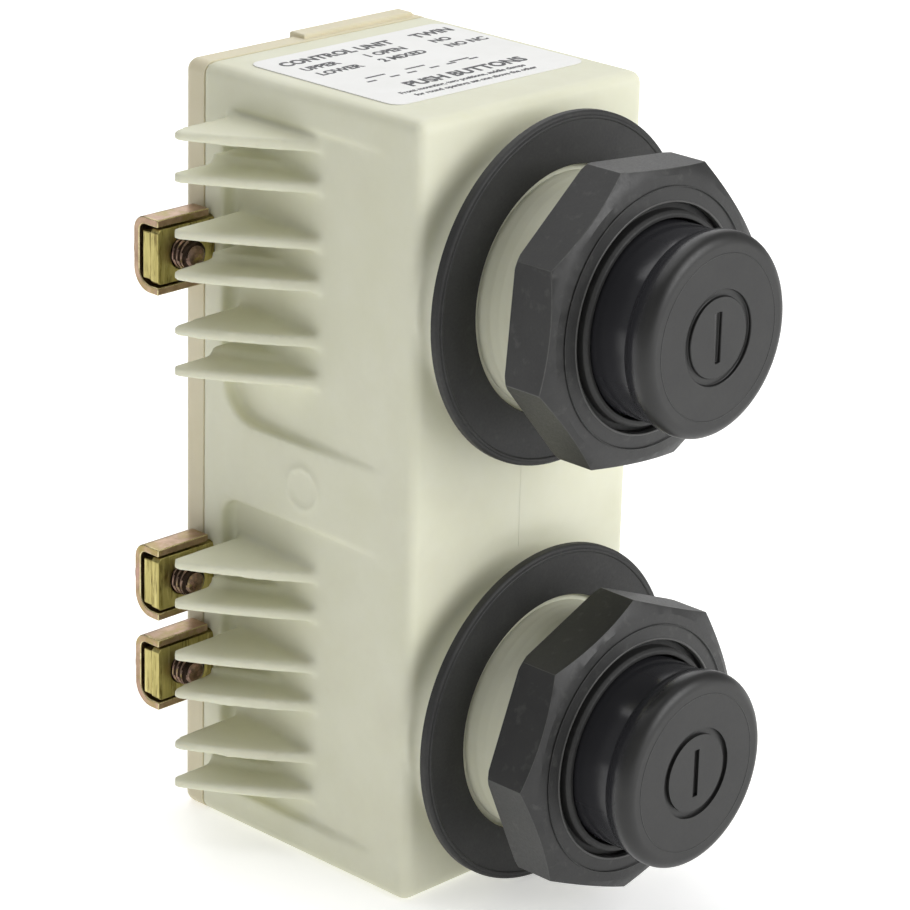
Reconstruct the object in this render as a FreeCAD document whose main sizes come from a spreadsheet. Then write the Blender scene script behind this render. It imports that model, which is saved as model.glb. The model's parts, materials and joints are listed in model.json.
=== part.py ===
"""Twin push-button control unit for a panel, with its contact block and saddle-clamp terminals.

Millimetres. +X is right, +Y goes back through the panel and +Z is up. The origin is midway between the
two button axes, on the front faces of the gaskets, which is where the back of the panel lies.
Each sub-part is one document object. Its Label is its node's name, and the driving sizes are in the sheet.
"""
import FreeCAD, Part
import math
import os
import re

import Sketcher

SIZES = {
    # how far a cutter runs past what it cuts, and how far a joined piece sinks into its neighbour
    "past": 1.0,
    "sink": 0.6,
    # housing and cover
    "button_spacing": 57.15,
    "body_width": 40.0,
    "body_top": 52.0,
    "body_bottom": -51.5,
    "front_face": 5.85,
    "seam": 44.55,
    "back_face": 48.55,
    "corner_round": 1.6,
    "front_wall": 2.4,
    "end_wall": 2.2,
    "chamber_half_width": 16.2,
    "divider_half": 1.0,
    "cover_wall": 2.0,
    "lip_left": -2.0,
    "lip_right": 17.8,
    "lip_height": 0.6,
    "lip_depth": 1.2,
    "lip_front_inset": 0.7,
    "lip_back_inset": 0.5,
    "lip_round": 0.35,
    # boss, threaded neck and the guide web behind its bore
    "boss_radius": 19.0,
    "boss_fillet": 1.0,
    "boss_front": 1.2,
    "neck_radius": 15.1,
    "neck_front": -13.2,
    "neck_bore": 13.0,
    "thread_pitch": 1.5,
    "thread_depth": 0.35,
    "web_front": 4.0,
    "guide_radius": 4.05,
    # side recesses, barrier fins and the plain ring between the recesses
    "recess_front": 10.25,
    "recess_back": 41.0,
    "recess_depth": 2.2,
    "recess_round": 3.0,
    "recess_low_round": 6.0,
    "upper_recess_low": 5.9,
    "upper_recess_high": 47.2,
    "lower_recess_low": -46.6,
    "lower_recess_high": -5.2,
    "fin_pitch": 12.7,
    "fin_high": 4.1,
    "fin_low": -1.3,
    "fin_root": 1.7,
    "fin_edge": 1.2,
    "fin_root_front": 21.0,
    "fin_reach": 29.8,
    "fin_back": 39.65,
    "fin_tip_round": 0.9,
    "fin_tip_inset": 0.1,
    "fin_tip_front": 38.3,
    "fin_outer_round": 83.0,
    "ledge_reach": 23.2,
    "ledge_start": 26.5,
    "ledge_height": 0.9,
    "ring_outer": 3.0,
    "ring_band": 0.5,
    "ring_height": 0.25,
    "ring_place": 25.65,
    # gasket, ring nut and boot
    "gasket_radius": 22.6,
    "gasket_hole": 15.95,
    "gasket_edge": 0.25,
    "nut_corner": 20.0,
    "nut_back": -7.85,
    "nut_front": -15.15,
    "nut_ridge": 17.7,
    "nut_ridge_front": -14.85,
    "nut_chamfer_front": -13.65,
    "nut_bore": 15.17,
    "nut_lip": 14.3,
    "nut_lip_back": -14.1,
    "nut_lip_edge": 0.3,
    "nut_back_edge": 0.3,
    "nut_back_step": 0.4,
    "boot_flange_front": -14.05,
    "boot_front": -15.7,
    "boot_bore": 12.6,
    "boot_collar": 13.5,
    "boot_edge": 0.4,
    # button cap and plunger
    "cap_face": -24.9,
    "cap_rim": 12.9,
    "cap_side": 12.3,
    "cap_flare_end": -20.8,
    "cap_edge_round": 1.6,
    "cap_flare_round": 5.0,
    "cap_wall": 1.8,
    "cap_face_wall": 2.0,
    "skirt_end": -1.1,
    "socket_radius": 5.8,
    "socket_end": -13.0,
    "stem_radius": 4.0,
    "stem_front": -20.0,
    "press_travel": 5.0,
    "mark_ring": 6.0,
    "mark_width": 0.9,
    "mark_depth": 0.45,
    "mark_bar": 6.4,
    # contact carrier, bridges and springs
    "carrier_front": 8.3,
    "carrier_half_width": 5.5,
    "rail": 2.7,
    "window_half": 3.3,
    "seat_back": 28.0,
    "seat_front": 26.5,
    "light_window_front": 11.3,
    "light_window_back": 25.5,
    "tie_overlap": 0.5,
    "open_end_wall": 2.4,
    "closed_window_back": 40.0,
    "closed_end_wall": 1.0,
    "bridge_half_length": 12.2,
    "bridge_half_width": 3.0,
    "bridge_thickness": 0.8,
    "contact_radius": 2.0,
    "contact_height": 0.8,
    "contact_place": 9.7,
    "contact_gap": 0.1,
    "return_coil": 7.6,
    "return_wire": 0.9,
    "return_turns": 6,
    "contact_coil": 2.0,
    "contact_wire": 0.3,
    "contact_turns": 4,
    # terminals
    "strap_front": 42.75,
    "strap_thickness": 1.38,
    "strap_half": 3.65,
    "strap_end": 29.4,
    "strap_inner": 7.5,
    "strap_step": 13.15,
    "strap_step_front": 32.15,
    "strap_chamfer": 0.45,
    "slot_gap": 0.05,
    "slot_side_gap": 0.1,
    "tongue_overlap": 0.5,
    "plate_inner": 21.0,
    "plate_half": 3.1,
    "plate_gap": 0.02,
    "saddle_inner": 20.7,
    "saddle_half": 4.95,
    "saddle_sheet": 1.0,
    "saddle_back": 47.3,
    "saddle_round": 2.0,
    "saddle_sag_round": 3.0,
    "screw_place": 25.05,
    "screw_radius": 2.1,
    "screw_hole": 2.15,
    "screw_clear_hole": 2.4,
    "screw_thread_end": 41.3,
    "screw_tip": 40.15,
    "screw_tip_radius": 1.4,
    "screw_step": 0.4,
    "screw_tip_edge": 0.3,
    "screw_head_radius": 3.4,
    "screw_head": 1.9,
    "screw_head_round": 0.8,
    "screw_slot": 0.9,
    "screw_slot_depth": 0.8,
    # rating label on the top face
    "label_left": -16.6,
    "label_right": 17.6,
    "label_front": 13.6,
    "label_back": 40.4,
    "label_round": 2.0,
    "label_thickness": 0.12,
}
NUT_SIDES = 8
UPPER_NUT_TURN = 17.5
LOWER_NUT_TURN = 1.0
LEFT, RIGHT = -1, 1
SIDES = {"left": LEFT, "right": RIGHT}
UPPER_AXIS = "button_spacing / 2"
LOWER_AXIS = "-button_spacing / 2"
CLOSED_AXIS = "-button_spacing / 2 + fin_pitch"
BUTTONS = {"upper": (UPPER_AXIS, UPPER_NUT_TURN), "lower": (LOWER_AXIS, LOWER_NUT_TURN)}
# each terminal: its height, and whether its strap steps forward to a normally closed contact
TERMINALS = {
    "upper": (UPPER_AXIS, False),
    "middle": (CLOSED_AXIS, True),
    "lower": (LOWER_AXIS, False),
}
# where a vee of the thread starts and how wide it is, both in pitches
VEE_START = 0.7
VEE_WIDTH = 0.6
# how near an edge lies to a plane, in millimetres, to count as being on it
NEAR = 0.1
ALIAS = re.compile(r"\b[a-z][a-z_]+\b")

doc = FreeCAD.newDocument("push_button_unit")
sheet = doc.addObject("Spreadsheet::Sheet", "Sizes")
for row, (alias, number) in enumerate(SIZES.items(), start=1):
    sheet.set(f"A{row}", alias)
    sheet.set(f"B{row}", str(number))
    sheet.setAlias(f"B{row}", alias)
doc.recompute()


def linked(expression):
    """The expression with each size's name pointing at its cell."""
    return ALIAS.sub(lambda m: f"Sizes.{m[0]}" if m[0] in SIZES else m[0], str(expression))


def value(expression):
    """The number that an expression of the sheet's sizes stands for."""
    return float(sheet.evalExpression(linked(expression)))


def bind(item, **settings):
    """Binds properties to expressions. A double underscore stands for a dot."""
    for name, expression in settings.items():
        item.setExpression(name.replace("__", "."), linked(expression))


def place(item, x=0, y=0, z=0):
    """Binds where an object's origin lies."""
    bind(item, Placement__Base__x=x, Placement__Base__y=y, Placement__Base__z=z)


def new(kind, label):
    """A document object with that label."""
    item = doc.addObject(kind, label)
    item.Label = label
    return item


def block(label, low, high):
    """A box between two corners, each three expressions."""
    box = new("Part::Box", label)
    spans = [f"({b}) - ({a})" for a, b in zip(low, high)]
    bind(box, Length=spans[0], Width=spans[1], Height=spans[2])
    place(box, *low)
    return box


def arc_between(start, end, radius):
    """A sketch arc that turns left for a positive radius and right for a negative one."""
    half = (end - start) * 0.5
    normal = FreeCAD.Vector(-half.y, half.x, 0).normalize()
    rise = math.sqrt(max(radius * radius - half.Length**2, 0.0))
    centre = start + half + normal * math.copysign(rise, radius)
    first, last = (start, end) if radius > 0 else (end, start)
    angles = [math.atan2(p.y - centre.y, p.x - centre.x) for p in (first, last)]
    circle = Part.Circle(centre, FreeCAD.Vector(0, 0, 1), abs(radius))
    return Part.ArcOfCircle(circle, *angles)


def draw(sketch, corners):
    """Draws a closed outline. A corner is (across, up), or (across, up, radius) where an arc leaves it."""
    points = [FreeCAD.Vector(value(c[0]), value(c[1]), 0) for c in corners]
    ends = []
    for index, corner in enumerate(corners):
        start, end = points[index], points[(index + 1) % len(points)]
        if len(corner) == 3:
            radius = value(corner[2])
            edge = sketch.addGeometry(arc_between(start, end, radius), False)
            ends.append((edge, 1, 2) if radius > 0 else (edge, 2, 1))
            size = sketch.addConstraint(Sketcher.Constraint("Radius", edge, abs(radius)))
            sketch.setExpression(f"Constraints[{size}]", linked(f"abs({corner[2]})"))
        else:
            edge = sketch.addGeometry(Part.LineSegment(start, end), False)
            ends.append((edge, 1, 2))
    for index, (edge, _, last) in enumerate(ends):
        follower, first, _ = ends[(index + 1) % len(ends)]
        sketch.addConstraint(Sketcher.Constraint("Coincident", edge, last, follower, first))
    for (edge, first, _), point, corner in zip(ends, points, corners):
        across = Sketcher.Constraint("DistanceX", -1, 1, edge, first, point.x)
        up = Sketcher.Constraint("DistanceY", -1, 1, edge, first, point.y)
        for constraint, expression in ((across, corner[0]), (up, corner[1])):
            made = sketch.addConstraint(constraint)
            sketch.setExpression(f"Constraints[{made}]", linked(expression))


def sketch_on(body, plane, corners, offset=0):
    """A sketch of an outline on one of the body's own planes, moved along the plane's normal."""
    face = next(f for f in body.Origin.OriginFeatures if f.Role == plane)
    sketch = body.newObject("Sketcher::SketchObject", body.Name + "_outline")
    sketch.AttachmentSupport = [(face, "")]
    sketch.MapMode = "FlatFace"
    sketch.setExpression("AttachmentOffset.Base.z", linked(offset))
    draw(sketch, corners)
    return sketch


def turned(label, profile, x=0, z=0):
    """A solid turned about an axis along Y. The profile's corners are (distance back, radius)."""
    body = new("PartDesign::Body", label)
    sketch = sketch_on(body, "YZ_Plane", profile)
    turn = body.newObject("PartDesign::Revolution", body.Name + "_turn")
    turn.Profile = sketch
    turn.ReferenceAxis = (sketch, ["H_Axis"])
    turn.Angle = 360
    sketch.Visibility = False
    place(body, x=x, z=z)
    return body


def pushed(label, plane, corners, length, offset=0, middle=False, z=0):
    """A solid pushed out of an outline, along the plane's normal or evenly to both sides of it."""
    body = new("PartDesign::Body", label)
    sketch = sketch_on(body, plane, corners, offset)
    pad = body.newObject("PartDesign::Pad", body.Name + "_pad")
    pad.Profile = sketch
    bind(pad, Length=length)
    pad.Midplane = middle
    place(body, z=z)
    return body


def rounded(label, base, radius, chosen):
    """The base with the chosen edges rounded. The choice looks at an edge's box."""
    doc.recompute()
    fillet = new("Part::Fillet", label)
    fillet.Base = base
    size = value(radius)
    edges = base.Shape.Edges
    fillet.Edges = [(n, size, size) for n, edge in enumerate(edges, start=1) if chosen(edge.BoundBox)]
    return fillet


def cut(label, base, *tools):
    """The base less its tools."""
    tool = tools[0] if len(tools) == 1 else joined(label + "_tools", *tools)
    result = new("Part::Cut", label)
    result.Base, result.Tool = base, tool
    return result


def joined(label, *shapes):
    """Shapes fused into one."""
    result = new("Part::MultiFuse", label)
    result.Shapes = list(shapes)
    return result


def shared(label, first, second):
    """What two shapes have in common."""
    result = new("Part::MultiCommon", label)
    result.Shapes = [first, second]
    return result


def mirrored(label, source):
    """The source mirrored left to right."""
    result = new("Part::Mirroring", label)
    result.Source = source
    result.Normal = FreeCAD.Vector(1, 0, 0)
    return result


def spring(label, coil, wire, turns, start, end, z):
    """A coil spring along Y: a round wire swept along a helix."""
    doc.recompute()
    thickness = 2 * value(wire)
    length = value(end) - value(start) - thickness
    helix = Part.makeLongHelix(length / value(turns), length, value(coil))
    centre = FreeCAD.Vector(value(coil), 0, 0)
    wire_end = Part.makeCircle(value(wire), centre, FreeCAD.Vector(0, 1, 0))
    item = new("Part::Feature", label)
    item.Shape = Part.Wire(helix.Edges).makePipeShell([Part.Wire(wire_end)], True, True)
    along_y = FreeCAD.Rotation(FreeCAD.Vector(1, 0, 0), -90)
    base = FreeCAD.Vector(0, value(start) + value(wire), value(z))
    item.Placement = FreeCAD.Placement(base, along_y)
    return item


def rectangle(left, low, right, high):
    """An outline with square corners."""
    return [(left, low), (right, low), (right, high), (left, high)]


def round_rectangle(left, low, right, high, radii):
    """An outline with rounded corners. The radii go round from the lower left corner."""
    first, second, third, fourth = radii
    return [
        (f"{left} + {first}", low),
        (f"{right} - {second}", low, second),
        (right, f"{low} + {second}"),
        (right, f"{high} - {third}", third),
        (f"{right} - {third}", high),
        (f"{left} + {fourth}", high, fourth),
        (left, f"{high} - {fourth}"),
        (left, f"{low} + {first}", first),
    ]


def along_y(box):
    """True for an edge that runs front to back."""
    return box.YLength > max(box.XLength, box.ZLength)


def neck_profile():
    """Boss and neck in one outline, with a vee for each turn of the thread."""
    profile = [("boss_front", 0), ("front_face + front_wall / 2", 0)]
    profile += [("front_face + front_wall / 2", "boss_radius + boss_fillet")]
    profile += [("front_face", "boss_radius + boss_fillet", "-boss_fillet")]
    profile += [("front_face - boss_fillet", "boss_radius"), ("boss_front", "boss_radius")]
    profile += [("boss_front", "neck_radius")]
    vees = int((SIZES["boss_front"] - SIZES["neck_front"]) / SIZES["thread_pitch"]) - 1
    for turn in range(vees):
        crest = f"boss_front - thread_pitch * {turn + VEE_START}"
        profile.append((crest, "neck_radius"))
        profile.append((f"{crest} - thread_pitch * {VEE_WIDTH / 2}", "neck_radius - thread_depth"))
        profile.append((f"{crest} - thread_pitch * {VEE_WIDTH}", "neck_radius"))
    profile.append(("neck_front + thread_depth", "neck_radius"))
    profile.append(("neck_front", "neck_radius - thread_depth"))
    profile.append(("neck_front", 0))
    return profile


def bore_profile():
    """The bore of the neck, and the stem's hole through the web and the front wall behind it."""
    front, through = "neck_front - past", "front_face + front_wall + past"
    bore = [(front, 0), (through, 0), (through, "guide_radius"), ("web_front", "guide_radius")]
    return bore + [("web_front", "neck_bore"), (front, "neck_bore")]


def recess_tool(label, low, high, radii):
    """Cuts one slanting recess into the left side: no depth at its front end and full depth at its back."""
    side, outside = "-body_width / 2", "-body_width / 2 - past"
    area = round_rectangle("recess_front", low, "recess_back", high, radii)
    depth = "recess_depth + past * 2"
    window = pushed(label + "_area", "YZ_Plane", area, depth, offset=outside)
    outline = [(outside, "recess_front"), (side, "recess_front")]
    outline += [(f"{side} + recess_depth", "recess_back"), (outside, "recess_back")]
    wedge = pushed(label + "_wedge", "XY_Plane", outline, "body_top * 2", middle=True)
    return shared(label, window, wedge)


def fin():
    """One barrier fin of the left side, at the height of the origin and thinner towards its edge."""
    inside = "-(chamber_half_width + sink)"
    plan = [(inside, "fin_root_front"), (inside, "fin_back")]
    plan += [("-(fin_reach - fin_tip_round)", "fin_back", "fin_tip_round")]
    plan += [("-(fin_reach - fin_tip_inset)", "fin_tip_front", "fin_outer_round")]
    outline = pushed("fin_plan", "XY_Plane", plan, "fin_root * 2", middle=True)
    half_root, half_edge = "fin_root / 2", "fin_edge / 2"
    section = [(inside, f"-{half_root}"), (inside, half_root)]
    section += [("-fin_reach", half_edge), ("-fin_reach", f"-{half_edge}")]
    draft = pushed("fin_draft", "XZ_Plane", section, "back_face * 2", middle=True)
    return shared("fin", outline, draft)


def ledge():
    """The thicker root on top of a lower fin, which is a triangle in plan."""
    inside = "-(chamber_half_width + sink)"
    plan = [(inside, "ledge_start"), (inside, "fin_back"), ("-ledge_reach", "fin_back")]
    return pushed("ledge", "XY_Plane", plan, "ledge_height + fin_root / 2")


def fin_bank():
    """All the fins of the left side, six to each button, in pairs about each contact's height."""
    doc.recompute()
    shapes = []
    single, root = fin_shape.Shape, ledge_shape.Shape
    for axis in (value(UPPER_AXIS), value(LOWER_AXIS)):
        for step in (-1, 0, 1):
            height = axis + step * value("fin_pitch")
            shapes.append(single.translated(FreeCAD.Vector(0, 0, height + value("fin_high"))))
            low = FreeCAD.Vector(0, 0, height + value("fin_low"))
            shapes.append(single.translated(low).fuse(root.translated(low)))
    bank = new("Part::Feature", "left_fins")
    bank.Shape = Part.makeCompound(shapes)
    return bank


def side_ring():
    """A plain raised ring between the recesses of the left side."""
    outside = "-body_width / 2 - ring_height"
    ring = new("Part::Cylinder", "side_ring_outer")
    hole = new("Part::Cylinder", "side_ring_hole")
    bind(ring, Radius="ring_outer", Height="ring_height + sink")
    bind(hole, Radius="ring_outer - ring_band", Height="ring_height + past * 2")
    for item, start in ((ring, outside), (hole, f"{outside} - past")):
        item.Placement.Rotation = FreeCAD.Rotation(FreeCAD.Vector(0, 1, 0), 90)
        place(item, start, "ring_place", 0)
    return cut("left_side_ring", ring, hole)


def strap_slots():
    """Cutters for the slots that the straps leave through, in the back edge of the housing's sides."""
    slots = []
    for side_name, side in SIDES.items():
        inner, outer = value("chamber_half_width - past"), value("body_width / 2 + past")
        ends = sorted((side * inner, side * outer))
        for name, (axis, _) in TERMINALS.items():
            low = (ends[0], "strap_front - slot_gap", f"{axis} - strap_half - slot_side_gap")
            high = (ends[1], "seam + past", f"{axis} + strap_half + slot_side_gap")
            slots.append(block(f"{side_name}_{name}_slot", low, high))
    return slots


def make_housing():
    """Shell with two chambers, bosses, threaded necks, side recesses and barrier fins."""
    half = "body_width / 2"
    low, high = (f"-{half}", "front_face", "body_bottom"), (half, "seam", "body_top")
    solid = block("housing_block", low, high)
    front = SIZES["front_face"] + NEAR
    shell = rounded("housing_outside", solid, "corner_round", lambda b: along_y(b) or b.YMax < front)
    chambers = []
    for name, low, high in (
        ("upper", "divider_half", "body_top - end_wall"),
        ("lower", "body_bottom + end_wall", "-divider_half"),
    ):
        near = ("-chamber_half_width", "front_face + front_wall", low)
        chambers.append(block(f"{name}_chamber", near, ("chamber_half_width", "seam + past", high)))
    usual = "recess_round"
    upper_rounds, lower_rounds = (usual, "recess_low_round", usual, usual), [usual] * 4
    recesses = [
        recess_tool("upper_left_recess", "upper_recess_low", "upper_recess_high", upper_rounds),
        recess_tool("lower_left_recess", "lower_recess_low", "lower_recess_high", lower_rounds),
    ]
    recesses += [mirrored(r.Label.replace("left", "right"), r) for r in recesses]
    hollow = cut("housing_shell", shell, *chambers, *recesses)
    necks = [turned(f"{name}_neck", neck_profile(), z=axis) for name, (axis, _) in BUTTONS.items()]
    bank, ring = fin_bank(), side_ring()
    right = [mirrored("right_fins", bank), mirrored("right_side_ring", ring)]
    added = joined("housing_added", hollow, *necks, bank, ring, *right)
    bores = [turned(f"{name}_bore", bore_profile(), z=axis) for name, (axis, _) in BUTTONS.items()]
    return cut("housing", added, *bores, *strap_slots())


def make_cover():
    """Back cover: a shallow tray with a snap lip on top and a tongue behind each strap."""
    half = "body_width / 2"
    low, high = (f"-{half}", "seam", "body_bottom"), (half, "back_face", "body_top")
    solid = block("cover_block", low, high)
    back = SIZES["back_face"] - NEAR
    outside = rounded("cover_outside", solid, "corner_round", lambda b: along_y(b) or b.YMin > back)
    wall = "cover_wall"
    low = (f"-{half} + {wall}", "seam - past", f"body_bottom + {wall}")
    high = (f"{half} - {wall}", f"back_face - {wall}", f"body_top - {wall}")
    tray = cut("cover_tray", outside, block("cover_hollow", low, high))
    low = ("lip_left", "seam + lip_front_inset", "body_top - lip_depth")
    high = ("lip_right", "back_face - lip_back_inset", "body_top + lip_height")
    lip_block = block("cover_lip_block", low, high)
    top = value("body_top + lip_height") - NEAR
    lip = rounded("cover_lip", lip_block, "lip_round", lambda b: b.ZMin > top)
    tongues = []
    for side_name, side in SIDES.items():
        ends = sorted((side * value(f"{half} - {wall}"), side * value(half)))
        for name, (axis, _) in TERMINALS.items():
            low = (ends[0], "strap_front + strap_thickness", f"{axis} - strap_half")
            high = (ends[1], "seam + tongue_overlap", f"{axis} + strap_half")
            tongues.append(block(f"{side_name}_{name}_tongue", low, high))
    return joined("back_cover", tray, lip, *tongues)


def make_label():
    """Thin label on the housing's top face."""
    rounds = ["label_round"] * 4
    outline = round_rectangle("label_left", "label_front", "label_right", "label_back", rounds)
    return pushed("rating_label", "XY_Plane", outline, "label_thickness", offset="body_top")


def make_gasket(name, axis):
    """Flat rubber washer with a softened edge, which seals against the back of the panel."""
    profile = [(0, "gasket_hole"), ("boss_front", "gasket_hole"), ("boss_front", "gasket_radius")]
    profile += [("gasket_edge", "gasket_radius"), (0, "gasket_radius - gasket_edge")]
    return turned(f"{name}_gasket", profile, z=axis)


def make_nut(name, axis, turn):
    """Eight-sided ring nut with a front lip that stops short of the cap."""
    profile = [("nut_back", "nut_bore"), ("nut_lip_back", "nut_bore"), ("nut_lip_back", "nut_lip")]
    profile += [("nut_front + nut_lip_edge", "nut_lip"), ("nut_front", "nut_lip + nut_lip_edge")]
    profile += [("nut_ridge_front", "nut_ridge"), ("nut_chamfer_front", "nut_corner")]
    profile += [("nut_back - nut_back_edge", "nut_corner"), ("nut_back", "nut_corner - nut_back_step")]
    ring = turned(f"{name}_nut_ring", profile[::-1], z=axis)
    prism = new("Part::Prism", f"{name}_nut_prism")
    prism.Polygon = NUT_SIDES
    bind(prism, Circumradius="nut_corner", Height="nut_back - nut_front + past * 2")
    to_front = FreeCAD.Rotation(FreeCAD.Vector(1, 0, 0), 90)
    prism.Placement.Rotation = to_front.multiply(FreeCAD.Rotation(FreeCAD.Vector(0, 0, 1), turn))
    place(prism, y="nut_back + past", z=axis)
    return shared(f"{name}_ring_nut", ring, prism)


def make_boot(name, axis):
    """Rubber boot: its flange is held between the neck and the nut's lip, and its collar wipes the cap."""
    flange = "neck_radius - thread_depth"
    profile = [("neck_front", "boot_bore"), ("neck_front", flange), ("boot_flange_front", flange)]
    profile += [("boot_flange_front", "boot_collar"), ("boot_front + boot_edge", "boot_collar")]
    profile += [("boot_front", "boot_collar - boot_edge"), ("boot_front", "boot_bore")]
    return turned(f"{name}_boot", profile[::-1], z=axis)


def make_cap(name, axis):
    """Mushroomed cap with a skirt, an inner socket for the stem and a plain ring-and-bar mark in its face."""
    inner, inside = "cap_side - cap_wall", "cap_face + cap_face_wall"
    face, edge = "cap_face", "cap_edge_round"
    profile = [
        (face, 0),
        (inside, 0),
        (inside, "stem_radius"),
        ("socket_end", "stem_radius"),
        ("socket_end", "socket_radius"),
        (inside, "socket_radius"),
        (inside, inner),
        ("skirt_end", inner),
        ("skirt_end", "cap_side"),
        ("cap_flare_end", "cap_side", "cap_flare_round"),
        (f"{face} + {edge}", "cap_rim", edge),
        (face, f"cap_rim - {edge}"),
    ]
    plain = turned(f"{name}_cap_plain", profile, z=axis)
    outer, width = "mark_ring", "mark_width"
    above, floor = f"{face} - past", f"{face} + mark_depth"
    ring = [(above, f"{outer} - {width}"), (floor, f"{outer} - {width}"), (floor, outer), (above, outer)]
    groove = turned(f"{name}_mark_ring", ring, z=axis)
    low = (f"-{width} / 2", above, f"{axis} - mark_bar / 2")
    bar = block(f"{name}_mark_bar", low, (f"{width} / 2", floor, f"{axis} + mark_bar / 2"))
    return cut(f"{name}_button_cap", plain, groove, bar)


def stem(name, axis):
    """Round stem from the cap's socket through the guide web to the carrier."""
    back = "carrier_front + sink"
    profile = [("stem_front", 0), (back, 0), (back, "stem_radius"), ("stem_front", "stem_radius")]
    return turned(f"{name}_stem", profile, z=axis)


def carrier_column(label, axis, window_low, window_high, back):
    """One column of a contact carrier, with a bridge window and a lightening window in front of it."""
    width, half = "carrier_half_width", "(window_half + rail)"
    low, high = (f"-{width}", "carrier_front", f"{axis} - {half}"), (width, back, f"{axis} + {half}")
    column = block(label, low, high)
    tools = []
    for part, start, end in (
        ("bridge", window_low, window_high),
        ("light", "light_window_front", "light_window_back"),
    ):
        low = (f"-{width} - past", start, f"{axis} - window_half")
        high = (f"{width} + past", end, f"{axis} + window_half")
        tools.append(block(f"{label}_{part}_window", low, high))
    return cut(f"{label}_windowed", column, *tools)


OPEN_CONTACT_FRONT = "strap_front - contact_height"
OPEN_BRIDGE_BACK = f"({OPEN_CONTACT_FRONT} - press_travel - contact_gap - contact_height)"
OPEN_CARRIER_BACK = f"{OPEN_BRIDGE_BACK} + open_end_wall"
CLOSED_CONTACT_BACK = "strap_step_front + strap_thickness + contact_height"
CLOSED_BRIDGE_FRONT = f"({CLOSED_CONTACT_BACK} + contact_gap + contact_height)"
CLOSED_CARRIER_BACK = "closed_window_back + closed_end_wall"


def make_plunger(name, axis):
    """Stem and contact carrier in one moulding. The lower one carries two bridges."""
    window = ("seat_back", OPEN_BRIDGE_BACK)
    column = carrier_column(f"{name}_open_column", axis, *window, OPEN_CARRIER_BACK)
    pieces = [stem(name, axis), column]
    if name == "lower":
        window = (CLOSED_BRIDGE_FRONT, "closed_window_back")
        pieces.append(carrier_column("lower_closed_column", CLOSED_AXIS, *window, CLOSED_CARRIER_BACK))
        # fills the narrow space between the two columns
        reach = "window_half + rail - tie_overlap"
        low = ("-carrier_half_width", "carrier_front", f"{axis} + {reach}")
        high = ("carrier_half_width", OPEN_CARRIER_BACK, f"{CLOSED_AXIS} - ({reach})")
        pieces.append(block("lower_carrier_tie", low, high))
    return joined(f"{name}_plunger", *pieces)


def make_bridge(label, axis, front):
    """Moving contact bridge: a plain strip across the carrier."""
    low = ("-bridge_half_length", front, f"{axis} - bridge_half_width")
    high = ("bridge_half_length", f"{front} + bridge_thickness", f"{axis} + bridge_half_width")
    return block(label, low, high)


def contact_tip(label, x, front, z):
    """One round contact tip."""
    back = f"{front} + contact_height"
    profile = [(front, 0), (back, 0), (back, "contact_radius"), (front, "contact_radius")]
    return turned(label, profile, x=x, z=z)


def make_tips(label, front, axis):
    """A pair of contact tips in one node."""
    tips = [contact_tip(f"{label}_{n}", f"{s} * contact_place", front, axis) for n, s in SIDES.items()]
    pair = new("Part::Compound", label)
    pair.Links = tips
    return pair


def make_strap(side_name, side, name, axis, steps):
    """Terminal strap from the screw outside to the fixed contact inside, with a hole for the screw."""
    front, back = "strap_front", "strap_front + strap_thickness"
    end = f"{side} * strap_end"
    if steps:
        leg_out, leg_in = f"{side} * (strap_step + strap_thickness)", f"{side} * strap_step"
        low_back = "strap_step_front + strap_thickness"
        plan = [(end, front), (leg_out, front), (leg_out, "strap_step_front")]
        plan += [(f"{side} * strap_inner", "strap_step_front"), (f"{side} * strap_inner", low_back)]
        plan += [(leg_in, low_back), (leg_in, back), (end, back)]
    else:
        plan = rectangle(f"{side} * strap_inner", front, end, back)
    bar = pushed(f"{side_name}_{name}_bar", "XY_Plane", plan, "strap_half * 2", middle=True, z=axis)
    low, high = f"{front} - past", f"{back} + past"
    profile = [(low, 0), (high, 0), (high, "screw_hole"), (low, "screw_hole")]
    hole = turned(f"{side_name}_{name}_strap_hole", profile, x=f"{side} * screw_place", z=axis)
    nicked = chamfered_end(f"{side_name}_{name}_nicked", bar)
    return cut(f"{side_name}_{name}_strap", nicked, hole)


def chamfered_end(label, bar):
    """The bar with the two corners of its outer end cut off."""
    doc.recompute()
    outer, reach = value("strap_end") - NEAR, value("strap_chamfer")
    chamfer = new("Part::Chamfer", label)
    chamfer.Base = bar
    for number, edge in enumerate(bar.Shape.Edges, start=1):
        box = edge.BoundBox
        if min(abs(box.XMin), abs(box.XMax)) > outer and along_y(box):
            chamfer.Edges += [(number, reach, reach)]
    return chamfer


def make_wire_plate(side_name, side, name, axis):
    """Pressure plate between the strap and the wire."""
    front = "strap_front + strap_thickness + plate_gap"
    ends = sorted((side * value("strap_end"), side * value("plate_inner")))
    low = (ends[0], front, f"{axis} - plate_half")
    high = (ends[1], f"{front} + strap_thickness", f"{axis} + plate_half")
    plain = block(f"{side_name}_{name}_plate_plain", low, high)
    hole = clear_hole(f"{side_name}_{name}_plate_hole", side, axis)
    return cut(f"{side_name}_{name}_wire_plate", plain, hole)


def clear_hole(label, side, axis):
    """Cutter for the screw's clearance hole."""
    low, high, radius = "strap_front - past", "saddle_back + past", "screw_clear_hole"
    profile = [(low, 0), (high, 0), (high, radius), (low, radius)]
    return turned(label, profile, x=f"{side} * screw_place", z=axis)


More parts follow.
